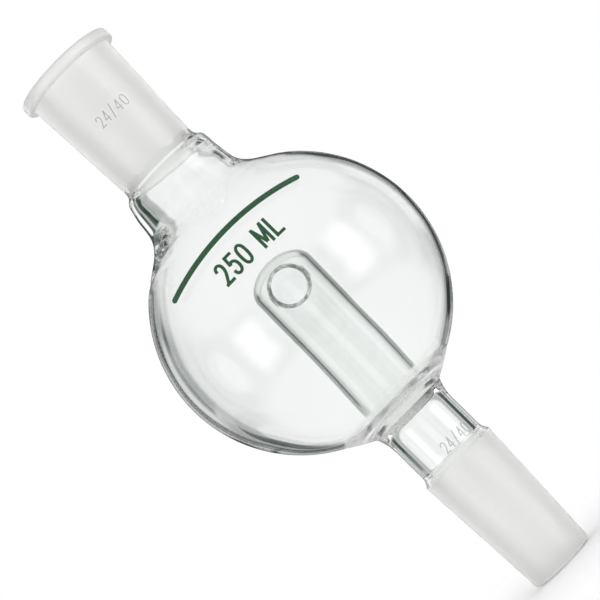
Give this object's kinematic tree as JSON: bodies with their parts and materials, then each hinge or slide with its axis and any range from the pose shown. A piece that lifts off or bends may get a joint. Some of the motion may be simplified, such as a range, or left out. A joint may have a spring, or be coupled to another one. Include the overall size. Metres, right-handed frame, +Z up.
{
  "type": "rotary evaporator splash trap",
  "caption": "Clear glass splash trap with a round bulb, a ground socket above, a ground cone below and a closed vapour tube with a side hole inside.",
  "frame": {"origin": "on the joints' common axis at the gauge plane of the lower ground cone, where it is 24 mm across", "axes": "+Z up the axis from the lower cone to the upper socket; the vapour tube's side hole and the enamel marks face -Y; the tube leans about 1 degree towards +X"},
  "size_m": [0.084, 0.084, 0.1944],
  "materials": {
    "inner_joint": "matte",
    "stem": "polished",
    "ring_seal": "polished",
    "vapour_tube": "polished",
    "bulb": "polished",
    "neck": "polished",
    "outer_joint": "matte",
    "socket_rim": "matte",
    "capacity_mark": "satin",
    "stripe_mark": "satin",
    "socket_size_mark": "matte",
    "stem_size_mark": "matte"
  },
  "bodies": {
    "root": {"inner_joint": "inner_joint", "stem": "stem", "ring_seal": "ring_seal", "vapour_tube": "vapour_tube", "bulb": "bulb", "neck": "neck", "outer_joint": "outer_joint", "socket_rim": "socket_rim", "capacity_mark": "capacity_mark", "stripe_mark": "stripe_mark", "socket_size_mark": "socket_size_mark", "stem_size_mark": "stem_size_mark"}
  },
  "joints": []
}
